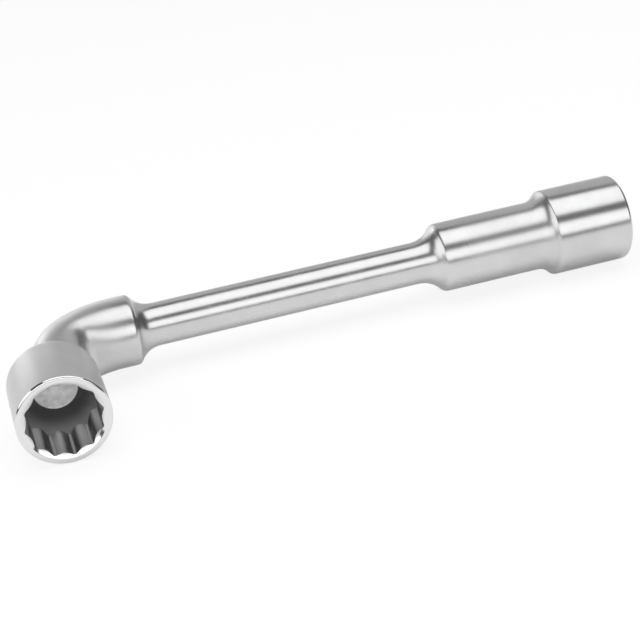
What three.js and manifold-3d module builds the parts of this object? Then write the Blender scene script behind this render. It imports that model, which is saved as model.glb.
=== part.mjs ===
// Offset double socket wrench for 19 mm nuts: a forged bar with a 6-point socket straight on one end
// and a 12-point socket turned through a right angle on the other.
// Millimetres, +Z up. The wrench lies flat: the shank runs along +X and the elbow mouth faces -Y.
// The origin is below the middle of the wrench, on the surface that it lies on.

import * as THREE from "three";
import { mergeVertices } from "three/addons/utils/BufferGeometryUtils.js";
import Module from "manifold-3d";

const wasm = await Module();
wasm.setup();

// Both sockets
const ACROSS_FLATS = 19.15; // a 19 mm nut with its clearance
const RIM_EDGE_RADIUS = 0.8; // rounded outer edge of each mouth
const LEAD_IN_WIDTH = 0.5; // how far the lead-in chamfer reaches past the corners
const LEAD_IN_ANGLE = 35; // degrees between the chamfer and the rim

// Shank
const SHANK_DIAMETER = 12.9;
const SHANK_LENGTH = 81.4; // plain round bar between the two flares

// Elbow neck, with the collar where it meets the shank
const NECK_DIAMETER = 21.1;
const NECK_DRAW_IN = 3.5; // loss of diameter on the way to the elbow socket
const DRAW_IN_START = 45; // degrees round the bend where the neck starts to draw in
const BEND_RADIUS = 19.2; // centre line of the bend
const NECK_OFFSET = 2.8; // the neck joins the elbow socket this far off its axis, towards the shank
const NECK_INSIDE_ROUND = 3; // the inside of the bend is a tight corner, rounded by this much
const NECK_INSIDE_STEP = 1.6; // how far the inside of the neck stands in from the elbow socket's wall
const COLLAR_LENGTH = 3.85; // straight stretch between the bend and the collar edge
const COLLAR_FLARE_RADIUS = 7.3;
const COLLAR_EDGE_RADIUS = 2;

// Elbow socket
const ELBOW_HEIGHT = 45.4; // shank axis to mouth
const ELBOW_WALL = 2.04; // outside the corners of its points
const ELBOW_SOCKET_LENGTH = 25.2; // mouth to the crease at the neck
const ELBOW_SHOULDER_RADIUS = 3;
const ELBOW_POINTS = 12;
const ELBOW_POINTS_TURN = 5; // degrees that the points are turned about the socket axis
const ELBOW_BACK = 4.7; // solid steel between the floor of the hollow and the crease
const ELBOW_RUN_OUT = 8.5; // length over which the corners run out above the floor
const ELBOW_FLOOR_DIAMETER = 14;
const SPLIT_CLEARANCE = 2; // least neck that stays on the elbow socket behind its shoulder

// Sleeve, bored so that a long stud can pass into it
const STUD_BORE_DIAMETER = 16;
const SLEEVE_WALL = 2.6;
const SLEEVE_LENGTH = 38.4; // start of its flare to the start of the socket flare
const SLEEVE_FLARE_RADIUS = 9.2;
const SLEEVE_EDGE_RADIUS = 2.4;
const SLEEVE_WEB = 12.7; // solid steel between the shank and the point of the bore
const DRILL_POINT_ANGLE = 118; // degrees, at the bottom of the stud bore

// Straight socket
const STRAIGHT_WALL = 2.24; // outside the corners of its points
const STRAIGHT_SOCKET_LENGTH = 29.1; // start of its flare to the mouth
const STRAIGHT_FLARE_RADIUS = 6.4;
const STRAIGHT_EDGE_RADIUS = 1.1;
const STRAIGHT_POINTS = 6;
const STRAIGHT_BACK = 5.1; // sleeve to the place where the corners have run out
const STRAIGHT_RUN_OUT = 4; // length over which the corners run out

// Facets
const ROUND_STEPS = 64;
const FLARE_STEPS = 8;
const EDGE_STEPS = 3;
const BEND_STEPS = 16;
const CUT_MARGIN = 1; // how far a cutter stands out of the mouth
const MERGE_DISTANCE = 1e-4; // vertices closer than this are one vertex

// Finish: satin chrome over steel
const CHROME_COLOUR = 0xc6c7c8;
const BLASTED_ROUGHNESS = 0.42;
const BUFFED_ROUGHNESS = 0.2;

// Sizes that follow from the nut and the stud
const cornerRadius = ACROSS_FLATS / 2 / Math.cos(Math.PI / 6);
const leadInRadius = cornerRadius + LEAD_IN_WIDTH;
const elbowRadius = cornerRadius + ELBOW_WALL;
const straightRadius = cornerRadius + STRAIGHT_WALL;
const studRadius = STUD_BORE_DIAMETER / 2;
const sleeveDiameter = STUD_BORE_DIAMETER + 2 * SLEEVE_WALL;

// Places along the shank, measured from the crossing of the two axes
const bendStart = BEND_RADIUS + NECK_OFFSET;
const collarEdge = bendStart + COLLAR_LENGTH;
const collarFlare = flareLength(SHANK_DIAMETER, NECK_DIAMETER, COLLAR_FLARE_RADIUS, COLLAR_EDGE_RADIUS);
const shankStart = collarEdge + collarFlare;
const shankEnd = shankStart + SHANK_LENGTH;
const sleeveEnd = shankEnd + SLEEVE_LENGTH;
const straightMouth = sleeveEnd + STRAIGHT_SOCKET_LENGTH;
const studPoint = shankEnd + SLEEVE_WEB;
const studFloor = studPoint + studRadius / Math.tan(radians(DRILL_POINT_ANGLE / 2));

// Places on the elbow, measured from the shank axis towards the mouth
const elbowSocketBack = ELBOW_HEIGHT - ELBOW_SOCKET_LENGTH;
const neckRadius = NECK_DIAMETER / 2;
const neckInside = elbowRadius - NECK_INSIDE_STEP;
const splitCosine = (BEND_RADIUS - elbowSocketBack + SPLIT_CLEARANCE) / (BEND_RADIUS - neckRadius);
const splitAngle = Math.acos(THREE.MathUtils.clamp(splitCosine, 0, 1));

// Places along the centre line of the neck, measured from the start of the bend
const bendLength = (BEND_RADIUS * Math.PI) / 2;
const straightNeck = Math.max(elbowSocketBack - SPLIT_CLEARANCE - BEND_RADIUS, 0);
const neckSplit = BEND_RADIUS * splitAngle + straightNeck;
const neckEnd = bendLength + Math.max(elbowSocketBack + ELBOW_SHOULDER_RADIUS - BEND_RADIUS, 0);

function radians(degrees) {
  return THREE.MathUtils.degToRad(degrees);
}

// Axial length of a flare: a concave arc off the thin bar and a convex edge onto the thick one.
function flareLength(thinDiameter, thickDiameter, flareRadius, edgeRadius) {
  const step = (thickDiameter - thinDiameter) / 2;
  const reach = flareRadius + edgeRadius;
  return Math.sqrt(reach ** 2 - (reach - step) ** 2);
}

// Profile points on an arc: x is the distance from the axis, y the place along it.
function arc(centreX, centreY, radius, fromAngle, toAngle, steps) {
  const points = [];
  for (let i = 0; i <= steps; i += 1) {
    const angle = fromAngle + ((toAngle - fromAngle) * i) / steps;
    points.push(new THREE.Vector2(centreX + radius * Math.cos(angle), centreY + radius * Math.sin(angle)));
  }
  return points;
}

// Profile of a flare that starts at place y on the thin bar and grows towards +y.
function flareProfile(thinDiameter, thickDiameter, flareRadius, edgeRadius, y) {
  const length = flareLength(thinDiameter, thickDiameter, flareRadius, edgeRadius);
  const flareCentre = thinDiameter / 2 + flareRadius;
  const edgeCentre = thickDiameter / 2 - edgeRadius;
  const meet = Math.atan2(length, edgeCentre - flareCentre);
  return [
    ...arc(flareCentre, y, flareRadius, Math.PI, meet, FLARE_STEPS),
    ...arc(edgeCentre, y + length, edgeRadius, meet - Math.PI, 0, EDGE_STEPS).slice(1),
  ];
}

// Profile of a mouth's rounded outer edge, from the wall down to the rim at y = 0.
function rimProfile(radius) {
  const centre = radius - RIM_EDGE_RADIUS;
  return arc(centre, RIM_EDGE_RADIUS, RIM_EDGE_RADIUS, 0, -Math.PI / 2, EDGE_STEPS + 1);
}

// Solid of revolution about the Y axis. The profile runs from high y to low y and is closed on the axis.
function revolve(profile) {
  const top = new THREE.Vector2(0, profile[0].y);
  const bottom = new THREE.Vector2(0, profile[profile.length - 1].y);
  return new THREE.LatheGeometry([bottom, ...profile.toReversed(), top], ROUND_STEPS);
}

function toSolid(geometry) {
  const bare = geometry.clone();
  bare.deleteAttribute("normal");
  bare.deleteAttribute("uv");
  const merged = mergeVertices(bare, MERGE_DISTANCE);
  const whole = [];
  for (let i = 0; i < merged.index.count; i += 3) {
    const corners = [merged.index.getX(i), merged.index.getX(i + 1), merged.index.getX(i + 2)];
    if (new Set(corners).size === 3) whole.push(...corners);
  }
  const vertProperties = new Float32Array(merged.attributes.position.array);
  const triVerts = new Uint32Array(whole);
  return new wasm.Manifold(new wasm.Mesh({ numProp: 3, vertProperties, triVerts }));
}

function toGeometry(solid) {
  const { vertProperties, triVerts } = solid.getMesh();
  const geometry = new THREE.BufferGeometry();
  geometry.setAttribute("position", new THREE.BufferAttribute(vertProperties, 3));
  geometry.setIndex(new THREE.BufferAttribute(triVerts, 1));
  geometry.computeVertexNormals();
  return geometry;
}

// Turns a solid built along +Y so that it runs along +X.
function alongShank(geometry) {
  return geometry.rotateZ(-Math.PI / 2);
}

// Outline of a 6-point or 12-point socket: one hexagon, or two hexagons half a step apart.
function socketOutline(points, turn) {
  const betweenRadius = ACROSS_FLATS / 2 / Math.cos(Math.PI / 6 - Math.PI / points);
  const shape = new THREE.Shape();
  for (let i = 0; i < 2 * points; i += 1) {
    const angle = turn + (i * Math.PI) / points;
    const radius = i % 2 === 0 ? cornerRadius : betweenRadius;
    const place = [radius * Math.cos(angle), radius * Math.sin(angle)];
    if (i === 0) shape.moveTo(...place);
    else shape.lineTo(...place);
  }
  shape.closePath();
  return shape;
}

// Punch that leaves a socket's hollow: a prism whose corners run out on a cone, with a lead-in cone at
// the mouth. Its depth grows along +Y from the mouth at y = 0.
function socketPunch({ points, turn, noseDepth, noseDiameter, runOut }) {
  const prism = new THREE.ExtrudeGeometry(socketOutline(points, turn), {
    depth: noseDepth + 2 * CUT_MARGIN,
    bevelEnabled: false,
  });
  prism.rotateX(-Math.PI / 2).translate(0, -CUT_MARGIN, 0);
  const nose = revolve([
    new THREE.Vector2(noseDiameter / 2, noseDepth),
    new THREE.Vector2(cornerRadius, noseDepth - runOut),
    new THREE.Vector2(cornerRadius + CUT_MARGIN, noseDepth - runOut),
    new THREE.Vector2(cornerRadius + CUT_MARGIN, -2 * CUT_MARGIN),
  ]);
  const leadIn = revolve([
    new THREE.Vector2(0, leadInRadius * Math.tan(radians(LEAD_IN_ANGLE))),
    new THREE.Vector2(leadInRadius, 0),
    new THREE.Vector2(leadInRadius, -CUT_MARGIN),
  ]);
  return toSolid(prism).intersect(toSolid(nose)).add(toSolid(leadIn));
}

// Centre line of the neck between two places on it: round the bend from -X to -Y, then straight on.
class NeckLine extends THREE.Curve {
  constructor(from, to) {
    super();
    this.from = from;
    this.to = to;
  }

  placeAt(t) {
    return THREE.MathUtils.lerp(this.from, this.to, t);
  }

  angleAt(t) {
    return Math.min(this.placeAt(t), bendLength) / BEND_RADIUS;
  }

  getPoint(t, target = new THREE.Vector3()) {
    const angle = this.angleAt(t);
    const beyondBend = Math.max(this.placeAt(t) - bendLength, 0);
    const x = bendStart - BEND_RADIUS * Math.sin(angle);
    const y = -BEND_RADIUS * (1 - Math.cos(angle)) - beyondBend;
    return target.set(x, y, 0);
  }

  getTangent(t, target = new THREE.Vector3()) {
    const angle = this.angleAt(t);
    return target.set(-Math.cos(angle), -Math.sin(angle), 0);
  }
}

// Distance from the bend's centre to the inside of the neck: two straight sides with a round between.
function insideReach(angle) {
  const sides = new THREE.Vector2(bendStart - neckInside, BEND_RADIUS - neckRadius);
  const roundCentre = sides.clone().subScalar(NECK_INSIDE_ROUND);
  const towards = new THREE.Vector2(Math.sin(angle), Math.cos(angle));
  const near = towards.dot(roundCentre);
  const chord = Math.max(near ** 2 - roundCentre.lengthSq() + NECK_INSIDE_ROUND ** 2, 0);
  const reach = near + Math.sqrt(chord);
  if (reach * towards.x < roundCentre.x) return sides.y / towards.y;
  if (reach * towards.y < roundCentre.y) return sides.x / towards.x;
  return reach;
}

// Bar along the centre line: round outside the bend, a tight corner inside it, and drawn in towards the
// elbow socket.
function sweepNeck(line, steps) {
  const section = new THREE.Shape();
  section.absarc(0, 0, neckRadius, 0, 2 * Math.PI, false);
  const neck = new THREE.ExtrudeGeometry(section, {
    curveSegments: ROUND_STEPS / 2,
    steps,
    extrudePath: line,
    bevelEnabled: false,
  });
  const place = neck.attributes.position;
  for (let i = 0; i < place.count; i += 1) {
    const fromCentre = new THREE.Vector2(bendStart - place.getX(i), place.getY(i) + BEND_RADIUS);
    const beyondBend = Math.min(fromCentre.y, 0);
    fromCentre.y -= beyondBend;
    const angle = Math.atan2(fromCentre.x, fromCentre.y);
    const drawnIn = THREE.MathUtils.smoothstep(angle, radians(DRAW_IN_START), Math.PI / 2);
    const shareLeft = 1 - drawnIn * (NECK_DRAW_IN / NECK_DIAMETER);
    const outwards = fromCentre.length() - BEND_RADIUS;
    const inside = (BEND_RADIUS - insideReach(angle)) / neckRadius;
    fromCentre.setLength(BEND_RADIUS + outwards * (outwards < 0 ? inside : shareLeft));
    const y = fromCentre.y + beyondBend - BEND_RADIUS;
    place.setXYZ(i, bendStart - fromCentre.x, y, place.getZ(i) * shareLeft);
  }
  return neck;
}

// Polish is the share of the blasted grain that has been buffed away.
function satinChrome(polish) {
  return new THREE.MeshStandardMaterial({
    color: CHROME_COLOUR,
    metalness: 1,
    roughness: THREE.MathUtils.lerp(BLASTED_ROUGHNESS, BUFFED_ROUGHNESS, polish),
  });
}

function buildElbowSocket() {
  const shoulder = arc(
    elbowRadius - ELBOW_SHOULDER_RADIUS,
    ELBOW_SOCKET_LENGTH - ELBOW_SHOULDER_RADIUS,
    ELBOW_SHOULDER_RADIUS,
    Math.PI / 2,
    0,
    2 * EDGE_STEPS,
  );
  const barrel = revolve([...shoulder, ...rimProfile(elbowRadius)]);
  const punch = socketPunch({
    points: ELBOW_POINTS,
    turn: radians(ELBOW_POINTS_TURN),
    noseDepth: ELBOW_SOCKET_LENGTH - ELBOW_BACK,
    noseDiameter: ELBOW_FLOOR_DIAMETER,
    runOut: ELBOW_RUN_OUT,
  });
  const neck = sweepNeck(new NeckLine(neckSplit, neckEnd), BEND_STEPS / 2);
  neck.translate(0, ELBOW_HEIGHT, 0);
  const socket = toSolid(barrel).add(toSolid(neck)).subtract(punch);
  return toGeometry(socket).translate(0, -ELBOW_HEIGHT, 0);
}

function buildElbowBend() {
  return toGeometry(toSolid(sweepNeck(new NeckLine(0, neckSplit), BEND_STEPS)));
}

function buildElbowCollar() {
  const flare = flareProfile(SHANK_DIAMETER, NECK_DIAMETER, COLLAR_FLARE_RADIUS, COLLAR_EDGE_RADIUS, 0);
  const facingElbow = flare.map((point) => new THREE.Vector2(point.x, shankStart - point.y));
  const bendEnd = new THREE.Vector2(neckRadius, bendStart);
  return alongShank(toGeometry(toSolid(revolve([...facingElbow, bendEnd]))));
}

function buildShank() {
  const radius = SHANK_DIAMETER / 2;
  const bar = new THREE.CylinderGeometry(radius, radius, SHANK_LENGTH, ROUND_STEPS);
  return alongShank(bar.translate(0, (shankStart + shankEnd) / 2, 0));
}

function studBore() {
  return alongShank(
    revolve([
      new THREE.Vector2(studRadius, straightMouth),
      new THREE.Vector2(studRadius, studFloor),
      new THREE.Vector2(0, studPoint),
    ]),
  );
}

function buildSleeve() {
  const flare = flareProfile(
    SHANK_DIAMETER,
    sleeveDiameter,
    SLEEVE_FLARE_RADIUS,
    SLEEVE_EDGE_RADIUS,
    shankEnd,
  );
  const socketEnd = new THREE.Vector2(sleeveDiameter / 2, sleeveEnd);
  const outside = revolve([...flare, socketEnd].reverse());
  return toGeometry(toSolid(alongShank(outside)).subtract(toSolid(studBore())));
}

function buildStraightSocket() {
  const flare = flareProfile(
    sleeveDiameter,
    2 * straightRadius,
    STRAIGHT_FLARE_RADIUS,
    STRAIGHT_EDGE_RADIUS,
    -STRAIGHT_SOCKET_LENGTH,
  ).map((point) => new THREE.Vector2(point.x, -point.y));
  const outside = revolve([...flare, ...rimProfile(straightRadius)]);
  const punch = socketPunch({
    points: STRAIGHT_POINTS,
    turn: 0,
    noseDepth: STRAIGHT_SOCKET_LENGTH - STRAIGHT_BACK,
    noseDiameter: STUD_BORE_DIAMETER,
    runOut: STRAIGHT_RUN_OUT,
  });
  const hollowed = toGeometry(toSolid(outside).subtract(punch));
  const socket = hollowed.rotateZ(Math.PI / 2).translate(straightMouth, 0, 0);
  return toGeometry(toSolid(socket).subtract(toSolid(studBore())));
}

const pieces = [
  ["elbow_socket", buildElbowSocket(), satinChrome(0.3)],
  ["elbow_bend", buildElbowBend(), satinChrome(0.3)],
  ["elbow_collar", buildElbowCollar(), satinChrome(0.4)],
  ["shank", buildShank(), satinChrome(0.5)],
  ["sleeve", buildSleeve(), satinChrome(0.5)],
  ["straight_socket", buildStraightSocket(), satinChrome(0.6)],
];

const wrench = new THREE.Group();
for (const [name, geometry, material] of pieces) {
  const mesh = new THREE.Mesh(geometry, material);
  mesh.name = name;
  wrench.add(mesh);
}

// The wrench is set down on its lower side, with the middle of its box over the origin.
const halfThickness = Math.max(elbowRadius, straightRadius);
wrench.position.set((elbowRadius - straightMouth) / 2, (ELBOW_HEIGHT - straightRadius) / 2, halfThickness);

export default wrench;
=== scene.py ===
"""The offset double socket wrench as it looks: satin chrome forms, studio light and camera.

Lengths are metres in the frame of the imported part. +X runs along the shank to the straight
socket, the elbow socket opens towards -Y, and the wrench lies on the floor at z = 0.
"""

import logging
import math
from contextlib import contextmanager
from dataclasses import dataclass, replace
from enum import Enum
from typing import Callable, Iterator

import bpy
from mathutils import Matrix, Vector


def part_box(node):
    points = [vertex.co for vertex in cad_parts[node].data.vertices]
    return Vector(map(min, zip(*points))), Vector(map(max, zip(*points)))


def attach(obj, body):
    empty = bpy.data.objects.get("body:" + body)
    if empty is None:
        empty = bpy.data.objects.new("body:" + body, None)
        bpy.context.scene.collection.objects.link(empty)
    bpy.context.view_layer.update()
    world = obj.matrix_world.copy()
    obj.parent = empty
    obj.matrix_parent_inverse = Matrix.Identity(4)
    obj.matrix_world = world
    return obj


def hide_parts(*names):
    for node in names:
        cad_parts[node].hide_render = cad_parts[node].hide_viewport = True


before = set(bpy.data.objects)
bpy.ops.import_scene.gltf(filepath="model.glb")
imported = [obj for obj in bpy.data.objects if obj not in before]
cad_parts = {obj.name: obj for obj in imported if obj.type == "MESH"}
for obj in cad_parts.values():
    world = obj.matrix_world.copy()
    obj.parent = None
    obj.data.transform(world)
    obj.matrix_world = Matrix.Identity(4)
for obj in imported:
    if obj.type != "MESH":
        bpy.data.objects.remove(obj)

LOG = logging.getLogger("wrench")

MM = 0.001
ROUND_STEPS = 192
MERGE_DISTANCE = 0.005 * MM
CUT_MARGIN = 1 * MM
ACROSS_FLATS = 19.15 * MM
STUD_BORE = 8 * MM
RIM_STEPS = 10
HOLLOW_FINISH = 1
FLOOR_FINISH = 2


# Modelling by hand

class Join(Enum):
    """How one solid is joined with another."""

    ADD = "UNION"
    CUT = "DIFFERENCE"
    KEEP_COMMON = "INTERSECT"


def take_alone(piece: bpy.types.Object) -> None:
    """Selects one object, makes it active and deselects the rest.

    Args:
        piece: the object to work on.
    """
    bpy.ops.object.select_all(action="DESELECT")
    piece.select_set(True)
    bpy.context.view_layer.objects.active = piece


@contextmanager
def edit_mode(piece: bpy.types.Object) -> Iterator[None]:
    """Opens one piece in edit mode with all of it selected, and closes it again.

    Args:
        piece: the object to edit.

    Returns:
        A context inside which edit-mode operators act on the piece.
    """
    take_alone(piece)
    bpy.ops.object.mode_set(mode="EDIT")
    bpy.ops.mesh.select_mode(type="VERT")
    bpy.ops.mesh.select_all(action="SELECT")
    yield
    bpy.ops.object.mode_set(mode="OBJECT")


def pick_vertices(piece: bpy.types.Object, test: Callable[[Vector], bool]) -> None:
    """Selects the vertices of a piece in edit mode by their place.

    Args:
        piece: the object that is in edit mode.
        test: says whether the vertex at a place is picked.
    """
    bpy.ops.mesh.select_mode(type="VERT")
    bpy.ops.mesh.select_all(action="DESELECT")
    bpy.ops.object.mode_set(mode="OBJECT")
    for vertex in piece.data.vertices:
        vertex.select = test(vertex.co)
    bpy.ops.object.mode_set(mode="EDIT")


def combine(piece: bpy.types.Object, tool: bpy.types.Object, how: Join) -> None:
    """Joins a tool solid with a piece and throws the tool away.

    Args:
        piece: the object that is kept.
        tool: the object that it is joined with.
        how: whether the tool is added, cut away, or its common part kept.
    """
    take_alone(piece)
    modifier = piece.modifiers.new(how.name, "BOOLEAN")
    modifier.operation = how.value
    modifier.solver = "EXACT"
    modifier.object = tool
    bpy.ops.object.modifier_apply(modifier=modifier.name)
    bpy.data.objects.remove(tool, do_unlink=True)


def close_up(piece: bpy.types.Object) -> None:
    """Merges the doubles of a piece and turns its faces outwards.

    Args:
        piece: the object to mend.
    """
    with edit_mode(piece):
        bpy.ops.mesh.remove_doubles(threshold=MERGE_DISTANCE)
        bpy.ops.mesh.normals_make_consistent(inside=False)


def smooth(piece: bpy.types.Object, degrees: float) -> None:
    """Shades a piece smooth, apart from edges sharper than an angle.

    Args:
        piece: the object to shade.
        degrees: the angle between faces past which an edge stays sharp.
    """
    take_alone(piece)
    bpy.ops.object.shade_smooth_by_angle(angle=math.radians(degrees))


@dataclass(frozen=True)
class TurningAxis:
    """A straight axis that a profile is turned about."""

    origin: Vector
    along: Vector
    outward: Vector

    def place(self, station: float, radius: float) -> Vector:
        """The place on the profile's plane at a station along the axis and a radius from it."""
        return self.origin + self.along * station + self.outward * radius

    @property
    def face(self) -> Vector:
        """The normal of the plane that the profile is drawn on."""
        return self.along.cross(self.outward)


class ProfilePen:
    """Draws a profile beside an axis as a chain of edges, then turns it into a solid."""

    def __init__(self, name: str, axis: TurningAxis, station: float, radius: float) -> None:
        """Sets the pen down.

        Args:
            name: the name of the object that is drawn.
            axis: the axis that the profile lies beside.
            station: where the profile starts along the axis.
            radius: where it starts out from the axis.
        """
        self.axis = axis
        self.station = station
        self.radius = radius
        bpy.ops.object.select_all(action="DESELECT")
        bpy.ops.mesh.primitive_plane_add(size=MM, location=(0, 0, 0))
        self.piece = bpy.context.object
        self.piece.name = self.piece.data.name = name
        bpy.ops.object.mode_set(mode="EDIT")
        bpy.ops.mesh.select_mode(type="VERT")
        bpy.ops.mesh.select_all(action="SELECT")
        bpy.ops.mesh.merge(type="CENTER")
        bpy.ops.transform.translate(value=axis.place(station, radius))

    def line_to(self, station: float, radius: float) -> "ProfilePen":
        """Draws a straight edge.

        Args:
            station: where it ends along the axis.
            radius: where it ends out from the axis.

        Returns:
            The pen itself.
        """
        step = self.axis.place(station, radius) - self.axis.place(self.station, self.radius)
        bpy.ops.mesh.extrude_vertices_move(TRANSFORM_OT_translate={"value": step})
        self.station, self.radius = station, radius
        return self

    def arc(self, station: float, radius: float, turn: float, steps: int) -> "ProfilePen":
        """Draws an arc.

        Args:
            station: the arc's centre along the axis.
            radius: the arc's centre out from the axis.
            turn: the angle turned from the axis's direction towards outward, in radians.
            steps: how many edges the arc has.

        Returns:
            The pen itself.
        """
        bpy.ops.mesh.spin(
            steps=steps, angle=-turn, center=self.axis.place(station, radius), axis=self.axis.face
        )
        along, out = self.station - station, self.radius - radius
        self.station = station + along * math.cos(turn) - out * math.sin(turn)
        self.radius = radius + along * math.sin(turn) + out * math.cos(turn)
        return self

    def turned(self) -> bpy.types.Object:
        """Turns the profile once round the axis.

        Returns:
            The closed solid.
        """
        bpy.ops.mesh.select_all(action="SELECT")
        bpy.ops.mesh.spin(
            steps=ROUND_STEPS, angle=2 * math.pi, center=self.axis.origin, axis=self.axis.along
        )
        bpy.ops.object.mode_set(mode="OBJECT")
        close_up(self.piece)
        return self.piece


@dataclass(frozen=True)
class Flare:
    """A concave sweep off a thin bar that ends in a rounded edge on a thick one."""

    thin: float
    thick: float
    sweep_radius: float
    edge_radius: float
    sweep_steps: int = 28
    edge_steps: int = 10

    @property
    def length(self) -> float:
        """How long the flare is along the axis."""
        reach = self.sweep_radius + self.edge_radius
        return math.sqrt(reach**2 - (reach - self.thick + self.thin) ** 2)

    @property
    def turn(self) -> float:
        """The angle that each of its two arcs turns through."""
        rise = self.thin + self.sweep_radius - self.thick + self.edge_radius
        return math.atan2(self.length, rise)

    def grow(self, pen: ProfilePen) -> None:
        """Draws the flare from the thin bar to the thick one.

        Args:
            pen: the pen, which stands on the thin bar.
        """
        start = pen.station
        pen.arc(start, self.thin + self.sweep_radius, self.turn, self.sweep_steps)
        pen.arc(start + self.length, self.thick - self.edge_radius, -self.turn, self.edge_steps)

    def shrink(self, pen: ProfilePen) -> None:
        """Draws the flare from the thick bar to the thin one.

        Args:
            pen: the pen, which stands on the thick bar.
        """
        start = pen.station
        pen.arc(start, self.thick - self.edge_radius, -self.turn, self.edge_steps)
        pen.arc(start + self.length, self.thin + self.sweep_radius, self.turn, self.sweep_steps)


# Places of the wrench

@dataclass(frozen=True)
class Layout:
    """Axes and stations of the wrench, measured on the CAD nodes."""

    crossing: Vector
    bend_start: float
    shank_start: float
    shank_end: float
    sleeve_end: float
    straight_mouth: float
    elbow_mouth: float
    neck: float
    shank: float
    sleeve: float
    straight: float
    elbow: float

    @classmethod
    def measured(cls) -> "Layout":
        """Reads the layout off the boxes of the CAD nodes.

        Returns:
            The layout, with stations measured from the crossing of the two axes.
        """
        boxes = {name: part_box(name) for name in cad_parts}
        elbow_low, elbow_high = boxes["elbow_socket"]
        shank_low, shank_high = boxes["shank"]
        middle = (shank_low + shank_high) / 2
        crossing = Vector(((elbow_low.x + elbow_high.x) / 2, middle.y, middle.z))

        def half_height(name: str) -> float:
            """Half the height of a node."""
            return (boxes[name][1].z - boxes[name][0].z) / 2

        return cls(
            crossing=crossing,
            bend_start=boxes["elbow_collar"][0].x - crossing.x,
            shank_start=shank_low.x - crossing.x,
            shank_end=shank_high.x - crossing.x,
            sleeve_end=boxes["sleeve"][1].x - crossing.x,
            straight_mouth=boxes["straight_socket"][1].x - crossing.x,
            elbow_mouth=crossing.y - elbow_low.y,
            neck=half_height("elbow_collar"),
            shank=half_height("shank"),
            sleeve=half_height("sleeve"),
            straight=half_height("straight_socket"),
            elbow=half_height("elbow_socket"),
        )

    @property
    def middle(self) -> Vector:
        """The middle of the shank's axis, which the lights stand round."""
        return self.crossing + Vector((self.straight_mouth / 2, 0, 0))

    @property
    def shank_axis(self) -> TurningAxis:
        """The axis of the shank, from the elbow to the straight socket."""
        return TurningAxis(self.crossing, Vector((1, 0, 0)), Vector((0, 0, 1)))

    @property
    def elbow_axis(self) -> TurningAxis:
        """The axis of the elbow socket, from the shank to the mouth."""
        return TurningAxis(self.crossing, Vector((0, -1, 0)), Vector((0, 0, 1)))


# Finishes

class Slot(Enum):
    """Material slots of the record."""

    SATIN = "satin_chrome"
    BUFFED = "buffed_chrome"


Feed = float | tuple[float, ...] | bpy.types.NodeSocket


def grey(value: float, blue: float = 1.0) -> tuple[float, float, float, float]:
    """An opaque grey, with its blue times a share."""
    return value, value, value * blue, 1


class Tree:
    """A shader node tree with short words for adding and feeding nodes."""

    def __init__(self, nodes: bpy.types.NodeTree) -> None:
        """Takes a node tree to work on."""
        self.tree = nodes

    def feed(self, socket: bpy.types.NodeSocket, term: Feed) -> None:
        """Links an output to an input, or sets the input's own value.

        Args:
            socket: the input.
            term: the output or the value that goes in.
        """
        if isinstance(term, bpy.types.NodeSocket):
            self.tree.links.new(term, socket)
        else:
            socket.default_value = term

    def add(
        self, kind: str, fed: dict[str | int, Feed] | None = None, **settings: object
    ) -> bpy.types.Node:
        """Adds a node.

        Args:
            kind: the node's type name.
            fed: what goes into its inputs, by their names or numbers.
            settings: values of the node's own properties.

        Returns:
            The new node.
        """
        node = self.tree.nodes.new(kind)
        for name, value in settings.items():
            setattr(node, name, value)
        for label, term in (fed or {}).items():
            self.feed(node.inputs[label], term)
        return node

    def math(self, operation: str, *terms: Feed) -> bpy.types.NodeSocket:
        """Adds a math node.

        Args:
            operation: the node's operation.
            terms: numbers or outputs that go in, in order.

        Returns:
            The node's output.
        """
        return self.add("ShaderNodeMath", dict(enumerate(terms)), operation=operation).outputs[0]

    def mixed(self, data_type: str, share: Feed, first: Feed, second: Feed) -> bpy.types.NodeSocket:
        """Adds a mix node.

        Args:
            data_type: what is mixed.
            share: how much of the second goes in.
            first: the first value or output.
            second: the second value or output.

        Returns:
            The node's output.
        """
        fed = {"Factor": share, "A": first, "B": second}
        return self.add("ShaderNodeMix", fed, data_type=data_type).outputs["Result"]

    def noise(
        self, place: Feed, scale: Feed, detail: float, roughness: float = 0.5
    ) -> bpy.types.NodeSocket:
        """Adds a noise texture.

        Args:
            place: where the noise is read.
            scale: how fine it is.
            detail: how many finer layers it has.
            roughness: how strong the finer layers are.

        Returns:
            The noise's value.
        """
        fed = {"Vector": place, "Scale": scale, "Detail": detail, "Roughness": roughness}
        return self.add("ShaderNodeTexNoise", fed, noise_dimensions="3D").outputs["Fac"]


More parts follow.
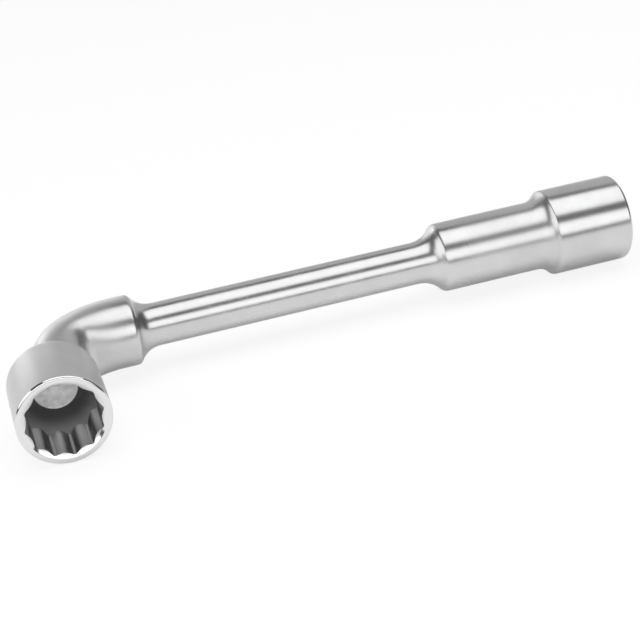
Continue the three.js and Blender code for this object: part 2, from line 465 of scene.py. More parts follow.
class NodeGroups:
    """The effects that the finishes share, each built once."""

    @staticmethod
    def _open(
        name: str, inputs: dict[str, Feed], outputs: tuple[str, ...]
    ) -> tuple[Tree, bpy.types.bpy_prop_collection, bpy.types.bpy_prop_collection]:
        """Starts a node group.

        Args:
            name: the group's name.
            inputs: inputs and their defaults, besides the place vector.
            outputs: the names of its outputs, which are masks or heights.

        Returns:
            The group's tree, what it is given and what it has to give.
        """
        group = bpy.data.node_groups.new(name, "ShaderNodeTree")
        face = group.interface
        for label, value in {"Place": (0, 0, 0), **inputs}.items():
            kind = "NodeSocketVector" if isinstance(value, tuple) else "NodeSocketFloat"
            face.new_socket(label, in_out="INPUT", socket_type=kind).default_value = value
        for label in outputs:
            face.new_socket(label, in_out="OUTPUT", socket_type="NodeSocketFloat")
        tree = Tree(group)
        return tree, tree.add("NodeGroupInput").outputs, tree.add("NodeGroupOutput").inputs

    @classmethod
    def blasted_grain(cls) -> bpy.types.NodeTree:
        """Fine even grain of the blasted steel under the plating.

        Returns:
            A group that gives a bump height and a mask of slow clouds.
        """
        name = "blasted_grain"
        if name not in bpy.data.node_groups:
            tree, given, asked = cls._open(
                name, {"Grains Per Metre": 2600.0, "Clouds Per Metre": 95.0}, ("Height", "Cloud")
            )
            place = given["Place"]
            grain = tree.noise(place, given["Grains Per Metre"], detail=3)
            cloud = tree.noise(place, given["Clouds Per Metre"], detail=4, roughness=0.6)
            tree.feed(asked["Height"], grain)
            tree.feed(asked["Cloud"], cloud)
        return bpy.data.node_groups[name]

    @classmethod
    def hand_ripple(cls) -> bpy.types.NodeTree:
        """Slow unevenness that polishing by hand leaves, which makes reflections waver.

        Returns:
            A group that gives a bump height.
        """
        name = "hand_ripple"
        if name not in bpy.data.node_groups:
            tree, given, asked = cls._open(name, {"Ripples Per Metre": 70.0}, ("Height",))
            ripple = tree.noise(given["Place"], given["Ripples Per Metre"], detail=1)
            tree.feed(asked["Height"], ripple)
        return bpy.data.node_groups[name]

    @classmethod
    def polished_band(cls) -> bpy.types.NodeTree:
        """A band that lies beyond a place along one direction, used for polished lips and for
        painted shade deep in a hollow.

        Returns:
            A group that gives a mask, 1 inside the band.
        """
        name = "polished_band"
        if name not in bpy.data.node_groups:
            tree, given, asked = cls._open(
                name, {"Along": (1, 0, 0), "Start": 0.0, "Fade": 1 * MM}, ("Mask",)
            )
            reach = tree.add(
                "ShaderNodeVectorMath",
                {0: given["Place"], 1: given["Along"]},
                operation="DOT_PRODUCT",
            ).outputs["Value"]
            beyond = tree.math("SUBTRACT", reach, given["Start"])
            share = tree.add(
                "ShaderNodeMapRange",
                {"Value": tree.math("DIVIDE", beyond, given["Fade"])},
                interpolation_type="SMOOTHSTEP",
            )
            tree.feed(asked["Mask"], share.outputs["Result"])
        return bpy.data.node_groups[name]

    @classmethod
    def drawn_lines(cls) -> bpy.types.NodeTree:
        """Fine broken lines that a belt or a punch draws along X.

        Returns:
            A group that gives a mask of the lines.
        """
        name = "drawn_lines"
        if name not in bpy.data.node_groups:
            tree, given, asked = cls._open(
                name, {"Lines Per Metre": 3200.0, "Stretch": 0.04}, ("Mask",)
            )
            parts = tree.add("ShaderNodeSeparateXYZ", {0: given["Place"]}).outputs
            slowed = tree.math("MULTIPLY", parts["X"], given["Stretch"])
            stretched = tree.add(
                "ShaderNodeCombineXYZ", {"X": slowed, "Y": parts["Y"], "Z": parts["Z"]}
            ).outputs[0]
            lines = tree.noise(stretched, given["Lines Per Metre"], detail=2)
            tree.feed(asked["Mask"], lines)
        return bpy.data.node_groups[name]


@dataclass(frozen=True)
class Band:
    """A stretch of a finish beyond a place along a direction, with its own roughness and tone; its
    tone gives the elbow's polished lip a paler colour, and paints shade deep in the elbow hollow.
    """

    along: tuple[float, float, float]
    start: float
    fade: float
    roughness: float
    tone: float | None = None


@dataclass(frozen=True)
class ChromeFinish:
    """Chrome plate over steel, from blasted to buffed, with an optional band: a polished lip on
    some finishes, and painted shade in the elbow hollow.
    """

    name: str
    pale: float
    deep: float
    smoothest: float
    roughest: float
    grain_depth: float = 0.001 * MM
    ripple_depth: float = 0.045 * MM
    line_turn: float = 0.0
    ripples_per_metre: float = 70.0
    clouds_per_metre: float = 95.0
    band: Band | None = None
    line_share: float = 0.5
    mottle_low: float = 0.35
    mottle_high: float = 0.65
    pale_blue: float = 1.005
    deep_blue: float = 1.01

    def material(self) -> bpy.types.Material:
        """Makes the finish's material.

        Returns:
            The material, made once.
        """
        if self.name not in bpy.data.materials:
            material = bpy.data.materials.new(self.name)
            material.use_nodes = True
            shader = material.node_tree.nodes["Principled BSDF"]
            shader.inputs["Metallic"].default_value = 1
            self.wire(Tree(material.node_tree), shader.inputs)
        return bpy.data.materials[self.name]

    def wire(self, tree: Tree, shader: bpy.types.bpy_prop_collection) -> None:
        """Leads the shared effects into the shader.

        Args:
            tree: the material's nodes.
            shader: the inputs of the material's shader.
        """
        place = tree.add("ShaderNodeTexCoord").outputs["Object"]
        grain = tree.add(
            "ShaderNodeGroup",
            {"Place": place, "Clouds Per Metre": self.clouds_per_metre},
            node_tree=NodeGroups.blasted_grain(),
        ).outputs
        ripple = tree.add(
            "ShaderNodeGroup",
            {"Place": place, "Ripples Per Metre": self.ripples_per_metre},
            node_tree=NodeGroups.hand_ripple(),
        ).outputs
        turned = tree.add(
            "ShaderNodeMapping", {"Vector": place, "Rotation": (0, 0, self.line_turn)}
        ).outputs["Vector"]
        lines = tree.add(
            "ShaderNodeGroup", {"Place": turned}, node_tree=NodeGroups.drawn_lines()
        ).outputs
        clouds = tree.math("MULTIPLY", grain["Cloud"], 1 - self.line_share)
        mottle = tree.math("MULTIPLY_ADD", lines["Mask"], self.line_share, clouds)
        roughness = tree.add(
            "ShaderNodeMapRange",
            {
                "Value": mottle,
                "From Min": self.mottle_low,
                "From Max": self.mottle_high,
                "To Min": self.smoothest,
                "To Max": self.roughest,
            },
        ).outputs["Result"]
        colour = tree.mixed(
            "RGBA",
            grain["Cloud"],
            grey(self.deep, self.deep_blue),
            grey(self.pale, self.pale_blue),
        )
        if self.band is not None:
            inside = tree.add(
                "ShaderNodeGroup",
                {
                    "Place": place,
                    "Along": self.band.along,
                    "Start": self.band.start,
                    "Fade": self.band.fade,
                },
                node_tree=NodeGroups.polished_band(),
            ).outputs["Mask"]
            roughness = tree.mixed("FLOAT", inside, roughness, self.band.roughness)
            # The band's tone: a paler polished lip, and in the elbow hollow painted shade that
            # darkens it towards its floor.
            if self.band.tone is not None:
                colour = tree.mixed("RGBA", inside, colour, grey(self.band.tone))
        wavy = tree.add(
            "ShaderNodeBump", {"Distance": self.ripple_depth, "Height": ripple["Height"]}
        ).outputs["Normal"]
        grainy = tree.add(
            "ShaderNodeBump",
            {"Distance": self.grain_depth, "Height": grain["Height"], "Normal": wavy},
        ).outputs["Normal"]
        tree.feed(shader["Base Color"], colour)
        tree.feed(shader["Roughness"], roughness)
        tree.feed(shader["Normal"], grainy)


ELBOW_LIP = Band(along=(0, -1, 0), start=28.5 * MM, fade=0.4 * MM, roughness=0.1, tone=0.74)
# Painted shade: darkens the colour of the elbow hollow towards its floor, where shade falls deep in
# the recess.
ELBOW_DEPTH_PAINTED_SHADE = Band(along=(0, 1, 0), start=-17 * MM, fade=6 * MM, roughness=0.32, tone=0.2)
NECK_SATIN = Band(along=(-1, 0, 0), start=55 * MM, fade=16 * MM, roughness=0.36)
SLEEVE_SATIN = Band(along=(1, 0, 0), start=41 * MM, fade=8 * MM, roughness=0.29)
STRAIGHT_LIP = Band(along=(1, 0, 0), start=71.5 * MM, fade=4 * MM, roughness=0.23)
BLASTED_CHROME = ChromeFinish(
    "blasted_chrome_finish",
    pale=0.68,
    deep=0.54,
    smoothest=0.33,
    roughest=0.41,
    grain_depth=0.0012 * MM,
    ripple_depth=0.05 * MM,
    band=ELBOW_LIP,
)
BUFFED_CHROME = ChromeFinish(
    "buffed_chrome_finish", pale=0.68, deep=0.53, smoothest=0.21, roughest=0.29
)
NECK_CHROME = replace(
    BUFFED_CHROME, name="neck_chrome_finish", smoothest=0.25, roughest=0.25, band=NECK_SATIN
)
SLEEVE_CHROME = replace(NECK_CHROME, name="sleeve_chrome_finish", band=SLEEVE_SATIN)
BUFFED_LIP_CHROME = replace(
    BUFFED_CHROME, name="buffed_lip_finish", smoothest=0.29, roughest=0.29, band=STRAIGHT_LIP
)
PUNCHED_BORE = ChromeFinish(
    "punched_bore_finish",
    pale=0.46,
    deep=0.34,
    smoothest=0.24,
    roughest=0.32,
    ripple_depth=0.02 * MM,
    line_turn=math.pi / 2,
)
# The elbow hollow's finish, whose band paints shade that darkens it towards the floor.
ELBOW_BORE = replace(
    PUNCHED_BORE,
    name="elbow_bore_finish",
    pale=0.66,
    deep=0.46,
    smoothest=0.28,
    roughest=0.36,
    band=ELBOW_DEPTH_PAINTED_SHADE,
)
FORGED_FLOOR = ChromeFinish(
    "forged_floor_finish",
    pale=0.95,
    deep=0.22,
    smoothest=0.24,
    roughest=0.4,
    grain_depth=0.004 * MM,
    ripple_depth=0.2 * MM,
    ripples_per_metre=300.0,
    clouds_per_metre=380.0,
)


# The wrench

@dataclass(frozen=True)
class Punch:
    """The tool that leaves a socket's hollow: points that run out on a cone, and a lead-in cone."""

    points: int
    across_flats: float
    turn: float
    depth: float
    run_out: float
    nose: float
    lead_in: float = 0.5 * MM
    lead_in_angle: float = math.radians(32)
    corner_round: float = 0.6 * MM
    crest_round: float = 1.1 * MM
    floor_round: float = 0.4 * MM
    mouth_round: float = 0.6 * MM
    corner_steps: int = 4
    crest_steps: int = 6
    floor_steps: int = 8
    mouth_steps: int = 6
    at_corner: float = 0.999

    @property
    def corner(self) -> float:
        """Radius at the corners."""
        return self.across_flats / 2 / math.cos(math.pi / 6)

    @property
    def between(self) -> float:
        """Radius half way between two corners."""
        return self.across_flats / 2 / math.cos(math.pi / 6 - math.pi / self.points)

    @property
    def mouth(self) -> float:
        """Radius of the lead-in cone at the mouth."""
        return self.corner + self.lead_in

    def prism(self, axis: TurningAxis, mouth: float) -> bpy.types.Object:
        """Makes the long prism with rounded corners.

        Args:
            axis: the socket's axis, towards its mouth.
            mouth: the mouth's station on it.

        Returns:
            The prism, from outside the mouth to past the floor.
        """
        bpy.ops.object.select_all(action="DESELECT")
        bpy.ops.mesh.primitive_circle_add(
            vertices=2 * self.points, radius=self.corner, fill_type="NGON", location=(0, 0, 0)
        )
        tool = bpy.context.object
        half_step = math.pi / self.points
        start = math.atan2(tool.data.vertices[0].co.y, tool.data.vertices[0].co.x)

        def is_between(place: Vector) -> bool:
            """Whether a corner of the circle lies between two points of the socket."""
            return round((math.atan2(place.y, place.x) - start) / half_step) % 2 == 1

        with edit_mode(tool):
            pick_vertices(tool, is_between)
            ratio = self.between / self.corner
            bpy.ops.transform.resize(value=(ratio, ratio, 1), center_override=(0, 0, 0))
            bpy.ops.mesh.bevel(
                offset=self.crest_round, segments=self.crest_steps, affect="VERTICES"
            )
            pick_vertices(tool, lambda place: place.length > self.at_corner * self.corner)
            bpy.ops.mesh.bevel(
                offset=self.corner_round, segments=self.corner_steps, affect="VERTICES"
            )
            bpy.ops.mesh.select_all(action="SELECT")
            length = self.depth + 2 * CUT_MARGIN
            bpy.ops.mesh.extrude_region_move(TRANSFORM_OT_translate={"value": (0, 0, -length)})
        close_up(tool)
        turned = Matrix.Rotation(self.turn - start, 3, "Z")
        frame_turn = Matrix((axis.outward, axis.face, axis.along)).transposed() @ turned
        place = axis.place(mouth + CUT_MARGIN, 0)
        tool.matrix_world = Matrix.Translation(place) @ frame_turn.to_4x4()
        take_alone(tool)
        bpy.ops.object.transform_apply(location=True, rotation=True, scale=True)
        return tool

    def made(self, axis: TurningAxis, mouth: float) -> bpy.types.Object:
        """Makes the whole punch.

        Args:
            axis: the socket's axis, towards its mouth.
            mouth: the mouth's station on it.

        Returns:
            The punch in its place.
        """
        tool = self.prism(axis, mouth)
        floor = mouth - self.depth
        outside = self.corner + CUT_MARGIN
        pen = ProfilePen("punch_nose", axis, floor, 0)
        slope = math.atan2(self.corner - self.nose, self.run_out)
        turn = math.pi / 2 - slope
        flat = self.nose - self.floor_round * math.tan(turn / 2)
        pen.line_to(floor, flat)
        pen.arc(floor + self.floor_round, flat, -turn, self.floor_steps)
        pen.line_to(floor + self.run_out, self.corner)
        pen.line_to(floor + self.run_out, outside).line_to(mouth + 2 * CUT_MARGIN, outside)
        pen.line_to(mouth + 2 * CUT_MARGIN, 0)
        combine(tool, pen.turned(), Join.KEEP_COMMON)
        tip = mouth - self.mouth * math.tan(self.lead_in_angle)
        blend = self.mouth_round * math.tan(self.lead_in_angle / 2)
        pen = ProfilePen("punch_lead_in", axis, tip, 0)
        pen.line_to(
            mouth - blend * math.sin(self.lead_in_angle),
            self.mouth - blend * math.cos(self.lead_in_angle),
        )
        pen.arc(
            mouth - self.mouth_round, self.mouth + blend, self.lead_in_angle, self.mouth_steps
        )
        pen.line_to(mouth + CUT_MARGIN, pen.radius).line_to(mouth + CUT_MARGIN, 0)
        combine(tool, pen.turned(), Join.ADD)
        return tool


def looks_inwards(face: bpy.types.MeshPolygon, layout: Layout) -> bool:
    """Whether a face looks towards the shank's axis.

    Args:
        face: the face of a piece.
        layout: the places and sizes of the wrench.

    Returns:
        Whether its normal points at the axis and not away from it.
    """
    offset = face.center - layout.crossing
    return face.normal.y * offset.y + face.normal.z * offset.z < 0


class Form:
    """One form of the wrench, which stands for one CAD node."""

    node: str
    slot: Slot
    finish: ChromeFinish
    sharp_angle: float

    def build(self, layout: Layout) -> bpy.types.Object:
        """Makes the form's mesh.

        Args:
            layout: the places and sizes of the wrench.

        Returns:
            The finished mesh object.
        """
        raise NotImplementedError

    def dress(self, piece: bpy.types.Object, layout: Layout) -> None:
        """Gives the form its finish.

        Args:
            piece: the form's mesh object.
            layout: the places and sizes of the wrench; not used here.
        """
        piece.data.materials.clear()
        piece.data.materials.append(self.finish.material())

    def place(self, layout: Layout) -> bpy.types.Object:
        """Builds and dresses the form and lets it stand for its CAD node.

        Args:
            layout: the places and sizes of the wrench.

        Returns:
            The finished piece.
        """
        piece = self.build(layout)
        smooth(piece, self.sharp_angle)
        piece.name = piece.data.name = f"{self.node}_form"
        self.dress(piece, layout)
        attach(piece, "root")
        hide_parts(self.node)
        return piece


@dataclass(frozen=True)
class Neck:
    """The bent neck: a round bar that is drawn in towards the elbow socket."""

    bend_radius: float = 19.2 * MM
    draw_in: float = 3.5 / 21.1
    draw_in_start: float = math.radians(45)
    inside_step: float = 1.6 * MM
    inside_round: float = 3 * MM
    split_clearance: float = 2 * MM
    socket_length: float = 25.2 * MM
    step: float = math.radians(1.25)
    seam: float = math.radians(0.1)

    def split(self, layout: Layout) -> float:
        """The angle round the bend where the neck passes from one form to the next.

        Args:
            layout: the places and sizes of the wrench.

        Returns:
            The angle in radians.
        """
        back = layout.elbow_mouth - self.socket_length
        rise = self.bend_radius - back + self.split_clearance
        return math.acos(rise / (self.bend_radius - layout.neck))

    def inside_reach(self, layout: Layout, angle: float) -> float:
        """How far the inside of the bend lies from the bend's centre at an angle.

        Args:
            layout: the places and sizes of the wrench.
            angle: how far round the bend, in radians.

        Returns:
            The distance to two straight sides and the round between them.
        """
        straight = self.bend_radius - layout.neck
        down = layout.bend_start - layout.elbow + self.inside_step
        along, up = math.sin(angle), math.cos(angle)
        turn_along, turn_up = down - self.inside_round, straight - self.inside_round
        middle = along * turn_along + up * turn_up
        gap = turn_along**2 + turn_up**2 - self.inside_round**2
        reach = middle + math.sqrt(max(middle**2 - gap, 0))
        if reach * along < turn_along:
            return straight / up
        if reach * up < turn_up:
            return down / along
        return reach

    def share_left(self, angle: float) -> float:
        """The share of the neck's radius that is left at an angle round the bend.

        Args:
            angle: how far round the bend, in radians.

        Returns:
            The share, 1 where nothing is drawn in.
        """
        part = (angle - self.draw_in_start) / (math.pi / 2 - self.draw_in_start)
        part = min(max(part, 0), 1)
        return 1 - self.draw_in * part * part * (3 - 2 * part)

    def stops(self, first: float, last: float) -> list[float]:
        """Where the rings of a stretch of the bend lie, after its first one.

        Args:
            first: the angle round the bend where the stretch starts.
            last: the angle where it ends.

        Returns:
            The angles, even but for a thin ring at each end that keeps the seams' shading flat.
        """
        start, span = first + self.seam, last - first - 2 * self.seam
        count = max(round(span / self.step), 1)
        return [start + span * ring / count for ring in range(count + 1)] + [last]

    def swept(
        self, name: str, layout: Layout, first: float, last: float, tail: float
    ) -> bpy.types.Object:
        """Sweeps the neck's round section along the bend, ring by ring.

        Args:
            name: the name of the object.
            layout: the places and sizes of the wrench.
            first: the angle round the bend where the stretch starts.
            last: the angle where it ends.
            tail: the straight length that follows the end.

        Returns:
            The closed stretch.
        """
        centre = layout.crossing + Vector((layout.bend_start, -self.bend_radius, 0))

        def on_line(angle: float) -> Vector:
            """The place on the neck's centre line at an angle round the bend."""
            return centre + self.bend_radius * Vector((-math.sin(angle), math.cos(angle), 0))

        bpy.ops.object.select_all(action="DESELECT")
        bpy.ops.mesh.primitive_circle_add(
            vertices=ROUND_STEPS,
            radius=layout.neck * self.share_left(first),
            fill_type="NGON",
            location=on_line(first),
            rotation=(0, math.pi / 2, first),
        )
        piece = bpy.context.object
        piece.name = piece.data.name = name
        bpy.ops.object.transform_apply(location=True, rotation=True, scale=True)
        with edit_mode(piece):
            angle = first
            for stop in self.stops(first, last):
                bpy.ops.mesh.spin(steps=1, angle=-(stop - angle), center=centre, axis=(0, 0, 1))
                ratio = self.share_left(stop) / self.share_left(angle)
                bpy.ops.transform.resize(value=(ratio,) * 3, center_override=on_line(stop))
                angle = stop
            if tail:
                bpy.ops.mesh.extrude_region_move(TRANSFORM_OT_translate={"value": (0, -tail, 0)})
        close_up(piece)
        self.tighten_inside(piece, layout, centre)
        return piece

    def tighten_inside(self, piece: bpy.types.Object, layout: Layout, centre: Vector) -> None:
        """Draws the inside half of a stretch of the neck into the tight corner of the bend.

        Args:
            piece: the swept stretch.
            layout: the places and sizes of the wrench.
            centre: the centre that the neck bends round.
        """
        for vertex in piece.data.vertices:
            offset = vertex.co - centre
            angle = min(math.atan2(-offset.x, offset.y), math.pi / 2)
            beyond = offset.y < 0
            reach = -offset.x if beyond else math.hypot(offset.x, offset.y)
            side = self.bend_radius - reach
            if side <= 0:
                continue
            left = layout.neck * self.share_left(angle)
            ratio = (self.bend_radius - self.inside_reach(layout, angle)) / left
            moved = side * (1 - ratio)
            if beyond:
                vertex.co.x -= moved
            else:
                vertex.co += moved * Vector((offset.x, offset.y, 0)).normalized()


@dataclass
class ElbowSocket(Form):
    """The barrel of the angled end, with its twelve-point hollow and the start of the neck."""

    node: str = "elbow_socket"
    slot: Slot = Slot.SATIN
    finish: ChromeFinish = BLASTED_CHROME
    sharp_angle: float = 20
    shoulder: float = 3 * MM
    shoulder_steps: int = 16
    rim_edge: float = 0.8 * MM
    bore_clearance: float = 0.02 * MM
    floor_front: float = 0.9 * MM
    floor_back: float = 0.1 * MM
    rim_tilt: float = -0.5
    neck: Neck = Neck()
    punch: Punch = Punch(
        points=12,
        across_flats=ACROSS_FLATS,
        turn=math.radians(5),
        depth=20.5 * MM,
        run_out=8.5 * MM,
        nose=6.4 * MM,
    )

    def build(self, layout: Layout) -> bpy.types.Object:
        """Turns the barrel, adds the neck behind it and punches the hollow.

        Args:
            layout: the places and sizes of the wrench.

        Returns:
            The finished mesh object.
        """
        axis = layout.elbow_axis
        mouth, radius = layout.elbow_mouth, layout.elbow
        back = mouth - self.neck.socket_length
        pen = ProfilePen("elbow_barrel", axis, back, 0)
        pen.line_to(back, radius - self.shoulder)
        pen.arc(
            back + self.shoulder, radius - self.shoulder, -math.pi / 2, self.shoulder_steps
        )
        pen.line_to(mouth - self.rim_edge, radius)
        pen.arc(mouth - self.rim_edge, radius - self.rim_edge, -math.pi / 2, RIM_STEPS)
        pen.line_to(mouth, 0)
        barrel = pen.turned()
        tail = back + self.shoulder - self.neck.bend_radius
        stub = self.neck.swept("elbow_stub", layout, self.neck.split(layout), math.pi / 2, tail)
        combine(barrel, stub, Join.ADD)
        combine(barrel, self.punch.made(axis, mouth), Join.CUT)
        close_up(barrel)
        return barrel

    def dress(self, piece: bpy.types.Object, layout: Layout) -> None:
        """Gives the outside its blasted chrome, and the hollow and its floor their own finishes;
        the hollow's finish carries painted shade that darkens it towards the floor.

        Args:
            piece: the form's mesh object.
            layout: the places and sizes of the wrench.
        """
        super().dress(piece, layout)
        piece.data.materials.append(ELBOW_BORE.material())
        piece.data.materials.append(FORGED_FLOOR.material())
        floor = layout.crossing.y - layout.elbow_mouth + self.punch.depth
        reach = self.punch.corner + self.bore_clearance
        for face in piece.data.polygons:
            offset = face.center - layout.crossing
            across = math.hypot(offset.x, offset.z)
            past = face.center.y - floor
            if across < self.punch.nose and -self.floor_front < past < self.floor_back:
                face.material_index = FLOOR_FINISH
            elif across < reach and past < 0 and face.normal.y > self.rim_tilt:
                face.material_index = HOLLOW_FINISH


@dataclass
class ElbowBend(Form):
    """The bent neck between the elbow socket and the collar."""

    node: str = "elbow_bend"
    slot: Slot = Slot.SATIN
    finish: ChromeFinish = NECK_CHROME
    sharp_angle: float = 30
    neck: Neck = Neck()

    def build(self, layout: Layout) -> bpy.types.Object:
        """Sweeps the neck from the collar to the elbow socket.

        Args:
            layout: the places and sizes of the wrench.

        Returns:
            The finished mesh object.
        """
        return self.neck.swept(self.node, layout, 0, self.neck.split(layout), 0)


@dataclass
class ElbowCollar(Form):
    """The straight stretch of the neck, its rounded edge and the flare down to the shank."""

    node: str = "elbow_collar"
    slot: Slot = Slot.SATIN
    finish: ChromeFinish = NECK_CHROME
    sharp_angle: float = 30
    sweep_radius: float = 7.3 * MM
    edge_radius: float = 2 * MM

    def build(self, layout: Layout) -> bpy.types.Object:
        """Turns the collar.

        Args:
            layout: the places and sizes of the wrench.

        Returns:
            The finished mesh object.
        """
        flare = Flare(layout.shank, layout.neck, self.sweep_radius, self.edge_radius)
        pen = ProfilePen(self.node, layout.shank_axis, layout.bend_start, 0)
        pen.line_to(layout.bend_start, layout.neck)
        pen.line_to(layout.shank_start - flare.length, layout.neck)
        flare.shrink(pen)
        pen.line_to(layout.shank_start, 0)
        return pen.turned()


@dataclass
class Shank(Form):
    """The plain round bar."""

    node: str = "shank"
    slot: Slot = Slot.BUFFED
    finish: ChromeFinish = BUFFED_CHROME
    sharp_angle: float = 30
    rings: int = 40

    def build(self, layout: Layout) -> bpy.types.Object:
        """Turns the bar.

        Args:
            layout: the places and sizes of the wrench.

        Returns:
            The finished mesh object.
        """
        pen = ProfilePen(self.node, layout.shank_axis, layout.shank_start, 0)
        length = layout.shank_end - layout.shank_start
        for ring in range(self.rings + 1):
            pen.line_to(layout.shank_start + length * ring / self.rings, layout.shank)
        pen.line_to(layout.shank_end, 0)
        return pen.turned()


@dataclass
class Sleeve(Form):
    """The thicker bored stretch behind the straight socket."""

    node: str = "sleeve"
    slot: Slot = Slot.BUFFED
    finish: ChromeFinish = SLEEVE_CHROME
    sharp_angle: float = 28
    sweep_radius: float = 9.2 * MM
    edge_radius: float = 2.4 * MM
    bore: float = STUD_BORE
    web: float = 12.7 * MM
    point_angle: float = math.radians(118)

    def build(self, layout: Layout) -> bpy.types.Object:
        """Turns the sleeve with its bore.

        Args:
            layout: the places and sizes of the wrench.

        Returns:
            The finished mesh object.
        """
        flare = Flare(layout.shank, layout.sleeve, self.sweep_radius, self.edge_radius)
        pen = ProfilePen(self.node, layout.shank_axis, layout.shank_end, 0)
        pen.line_to(layout.shank_end, layout.shank)
        flare.grow(pen)
        pen.line_to(layout.sleeve_end, layout.sleeve)
        pen.line_to(layout.sleeve_end, self.bore)
        point = layout.shank_end + self.web
        pen.line_to(point + self.bore / math.tan(self.point_angle / 2), self.bore)
        pen.line_to(point, 0)
        return pen.turned()

    def dress(self, piece: bpy.types.Object, layout: Layout) -> None:
        """Gives the outside its chrome and the bore its darker finish.

        Args:
            piece: the form's mesh object.
            layout: the places and sizes of the wrench.
        """
        super().dress(piece, layout)
        piece.data.materials.append(PUNCHED_BORE.material())
        start = layout.crossing.x + layout.shank_end + self.web / 2
        for face in piece.data.polygons:
            if looks_inwards(face, layout) and face.center.x > start:
                face.material_index = HOLLOW_FINISH


@dataclass
class StraightSocket(Form):
    """The barrel of the straight end, with its flare and six-point hollow."""

    node: str = "straight_socket"
    slot: Slot = Slot.BUFFED
    finish: ChromeFinish = BUFFED_LIP_CHROME
    sharp_angle: float = 28
    sweep_radius: float = 6.4 * MM
    edge_radius: float = 1.1 * MM
    rim_edge: float = 1.1 * MM
    bore: float = STUD_BORE
    seam_clearance: float = 0.01 * MM
    rim_tilt: float = 0.5
    punch: Punch = Punch(
        points=6,
        across_flats=ACROSS_FLATS,
        turn=0,
        depth=24 * MM,
        run_out=4 * MM,
        nose=STUD_BORE,
    )

    def build(self, layout: Layout) -> bpy.types.Object:
        """Turns the barrel with its bore and punches the points.

        Args:
            layout: the places and sizes of the wrench.

        Returns:
            The finished mesh object.
        """
        axis = layout.shank_axis
        mouth, radius = layout.straight_mouth, layout.straight
        flare = Flare(layout.sleeve, radius, self.sweep_radius, self.edge_radius)
        pen = ProfilePen(self.node, axis, layout.sleeve_end, self.bore)
        pen.line_to(layout.sleeve_end, layout.sleeve)
        flare.grow(pen)
        pen.line_to(mouth - self.rim_edge, radius)
        pen.arc(mouth - self.rim_edge, radius - self.rim_edge, -math.pi / 2, RIM_STEPS)
        pen.line_to(mouth, self.bore)
        pen.line_to(layout.sleeve_end, self.bore)
        piece = pen.turned()
        combine(piece, self.punch.made(axis, mouth), Join.CUT)
        close_up(piece)
        return piece

    def dress(self, piece: bpy.types.Object, layout: Layout) -> None:
        """Gives the outside its chrome and the hollow its darker punched finish.

        Args:
            piece: the form's mesh object.
            layout: the places and sizes of the wrench.
        """
        super().dress(piece, layout)
        piece.data.materials.append(PUNCHED_BORE.material())
        start = layout.crossing.x + layout.sleeve_end + self.seam_clearance
        for face in piece.data.polygons:
            inside = looks_inwards(face, layout) and face.center.x > start
            if inside and face.normal.x < self.rim_tilt:
                face.material_index = HOLLOW_FINISH


# Studio

def hang_lamp(
    name: str,
    size: tuple[float, float],
    radiance: float,
    place: Vector,
    across: Vector,
    away: Vector,
) -> bpy.types.Object:
    """Hangs an even rectangular light.

    Args:
        name: the light's name.
        size: its width and its height.
        radiance: how bright its face is, 1 being white.
        place: where its middle is.
        across: the direction of its width.
        away: the direction that its back looks in.

    Returns:
        The light object.
    """
    light = bpy.data.lights.new(name, "AREA")
    light.shape = "RECTANGLE"
    light.size, light.size_y = size
    light.energy = radiance * math.pi * light.size * light.size_y
    lamp = bpy.data.objects.new(name, light)
    lamp.location = place
    lamp.rotation_euler = Matrix((across, away.cross(across), away)).transposed().to_euler()
    bpy.context.collection.objects.link(lamp)
    return lamp


@dataclass(frozen=True)
class Softbox:
    """A long even light that hangs beside the wrench, parallel to its shank."""

    name: str
    rise: float
    half_spread: float
    distance: float
    left_end: float
    right_end: float
    radiance: float
    mirrored: bool = True

    def hang(self, layout: Layout) -> bpy.types.Object:
        """Hangs the softbox.

        Args:
            layout: the places of the wrench.

        Returns:
            The light object.
        """
        away = Vector((0, -math.cos(self.rise), math.sin(self.rise)))
        place = layout.middle + away * self.distance
        place.x = layout.crossing.x + (self.left_end + self.right_end) / 2
        size = (self.right_end - self.left_end, 2 * self.distance * math.tan(self.half_spread))
        lamp = hang_lamp(self.name, size, self.radiance, place, Vector((1, 0, 0)), away)
        lamp.visible_glossy = self.mirrored
        return lamp


@dataclass(frozen=True)
class Reflector:
    """A big pale card that stands on one side of the wrench."""

    name: str
    bearing: float
    distance: float
    width: float
    height: float
    foot: float
    radiance: float

    def stand(self, layout: Layout) -> bpy.types.Object:
        """Stands the card up.

        Args:
            layout: the places of the wrench.

        Returns:
            The light object.
        """
        away = Vector((math.sin(self.bearing), -math.cos(self.bearing), 0))
        place = layout.middle + away * self.distance
        place.z = self.foot + self.height / 2
        across = Vector((0, 0, 1)).cross(away)
        size = (self.width, self.height)
        return hang_lamp(self.name, size, self.radiance, place, across, away)


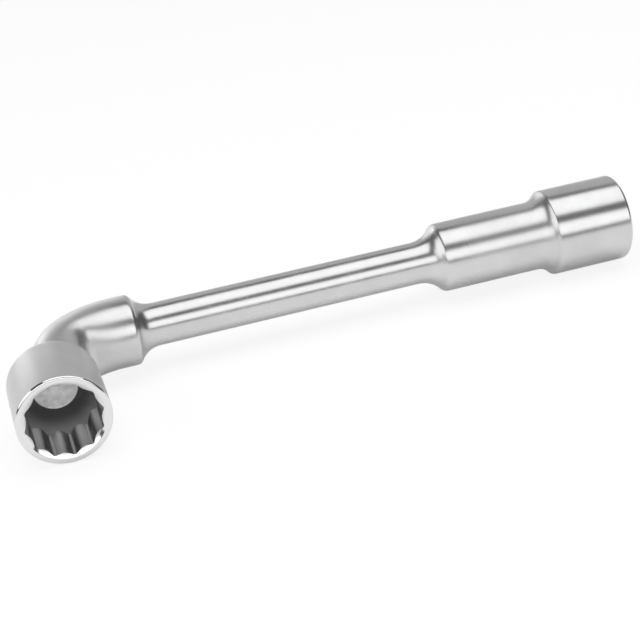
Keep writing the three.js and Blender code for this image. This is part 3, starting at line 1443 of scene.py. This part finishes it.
@dataclass(frozen=True)
class Studio:
    """The floor, the lights and the camera."""

    floor_size: float = 12.0
    floor_white: float = 0.92
    floor_seen_glow: float = 0.85
    floor_mirrored_glow: float = 0.1
    surround: float = 0.1
    focal_length: float = 86.28
    sensor: float = 36.0
    eye: Vector = Vector((-12.28, -409.95, 196.30)) * MM
    right: Vector = Vector((0.95218, -0.28181, -0.1181))
    up: Vector = Vector((0.22779, 0.39729, 0.8890))
    clip_start: float = 0.01
    softboxes: tuple[Softbox, ...] = (
        Softbox(
            "overhead_softbox",
            rise=math.radians(88),
            half_spread=math.radians(25.5),
            distance=0.6,
            left_end=-0.22,
            right_end=0.7,
            radiance=1.5,
        ),
        Softbox(
            "front_softbox",
            rise=math.radians(25.2),
            half_spread=math.radians(15.6),
            distance=0.7,
            left_end=-0.8,
            right_end=0.9,
            radiance=1.55,
        ),
        Softbox(
            "floor_softbox",
            rise=math.radians(90),
            half_spread=math.radians(22.5),
            distance=1.2,
            left_end=-0.5,
            right_end=0.6,
            radiance=1.45,
            mirrored=False,
        ),
    )
    reflectors: tuple[Reflector, ...] = (
        Reflector(
            "left_card",
            bearing=math.radians(-90),
            distance=0.8,
            width=0.9,
            height=0.6,
            foot=0.12,
            radiance=1.4,
        ),
        Reflector(
            "low_card",
            bearing=math.radians(-144),
            distance=0.8,
            width=0.42,
            height=0.3,
            foot=0.0,
            radiance=0.9,
        ),
        Reflector(
            "rear_left_card",
            bearing=math.radians(-166),
            distance=0.85,
            width=0.45,
            height=0.42,
            foot=0.0,
            radiance=0.62,
        ),
        Reflector(
            "rear_card",
            bearing=math.radians(165),
            distance=0.9,
            width=1.9,
            height=1.0,
            foot=0.0,
            radiance=0.5,
        ),
    )

    def lay_floor(self) -> bpy.types.Object:
        """Lays the white floor, which keeps the wrench's shadow.

        Returns:
            The floor object.
        """
        bpy.ops.object.select_all(action="DESELECT")
        bpy.ops.mesh.primitive_plane_add(size=self.floor_size, location=(0, 0, 0))
        floor = bpy.context.object
        floor.name = floor.data.name = "studio_floor"
        material = bpy.data.materials.new("studio_white")
        material.use_nodes = True
        nodes = material.node_tree.nodes
        shader = nodes["Principled BSDF"]
        shader.inputs["Base Color"].default_value = grey(self.floor_white)
        shader.inputs["Roughness"].default_value = 1
        shader.inputs["Specular IOR Level"].default_value = 0
        tree = Tree(material.node_tree)
        rays = tree.add("ShaderNodeLightPath").outputs
        mirrored = tree.math("MAXIMUM", rays["Is Glossy Ray"], rays["Is Transmission Ray"])
        mirrored = tree.math("MULTIPLY", mirrored, self.floor_mirrored_glow)
        seen = tree.math("MULTIPLY", rays["Is Camera Ray"], self.floor_seen_glow)
        glow = tree.add("ShaderNodeEmission").outputs["Emission"]
        mix = tree.add(
            "ShaderNodeMixShader",
            {"Fac": tree.math("MAXIMUM", seen, mirrored), 1: shader.outputs["BSDF"], 2: glow},
        )
        tree.feed(nodes["Material Output"].inputs["Surface"], mix.outputs["Shader"])
        floor.data.materials.append(material)
        return floor

    def light(self, layout: Layout) -> None:
        """Sets the dim surround and hangs the lights.

        Args:
            layout: the places of the wrench.
        """
        world = bpy.data.worlds.new("studio")
        world.use_nodes = True
        background = world.node_tree.nodes["Background"]
        background.inputs["Color"].default_value = grey(self.surround)
        bpy.context.scene.world = world
        for softbox in self.softboxes:
            softbox.hang(layout)
        for reflector in self.reflectors:
            reflector.stand(layout)

    def set_camera(self, layout: Layout) -> bpy.types.Object:
        """Sets the camera where the photograph was taken from.

        Args:
            layout: the places of the wrench.

        Returns:
            The camera object.
        """
        data = bpy.data.cameras.new("camera")
        data.lens = self.focal_length
        data.sensor_width = self.sensor
        data.sensor_fit = "HORIZONTAL"
        data.clip_start = self.clip_start
        camera = bpy.data.objects.new("camera", data)
        right = self.right.normalized()
        back = right.cross(self.up).normalized()
        turn = Matrix((right, back.cross(right), back)).transposed().to_4x4()
        camera.matrix_world = Matrix.Translation(layout.crossing + self.eye) @ turn
        bpy.context.collection.objects.link(camera)
        bpy.context.scene.camera = camera
        return camera


def main() -> None:
    """Builds the wrench form by form, then the studio round it."""
    logging.basicConfig(level=logging.INFO, format="%(name)s: %(message)s")
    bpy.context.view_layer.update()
    bpy.context.scene.view_settings.view_transform = "Standard"
    layout = Layout.measured()
    forms = (
        ElbowSocket(),
        ElbowBend(),
        ElbowCollar(),
        Shank(),
        Sleeve(),
        StraightSocket(),
    )
    for form in forms:
        piece = form.place(layout)
        LOG.info("%s: %d faces", piece.name, len(piece.data.polygons))
    studio = Studio()
    studio.lay_floor()
    studio.light(layout)
    studio.set_camera(layout)


if __name__ == "__main__":
    main()
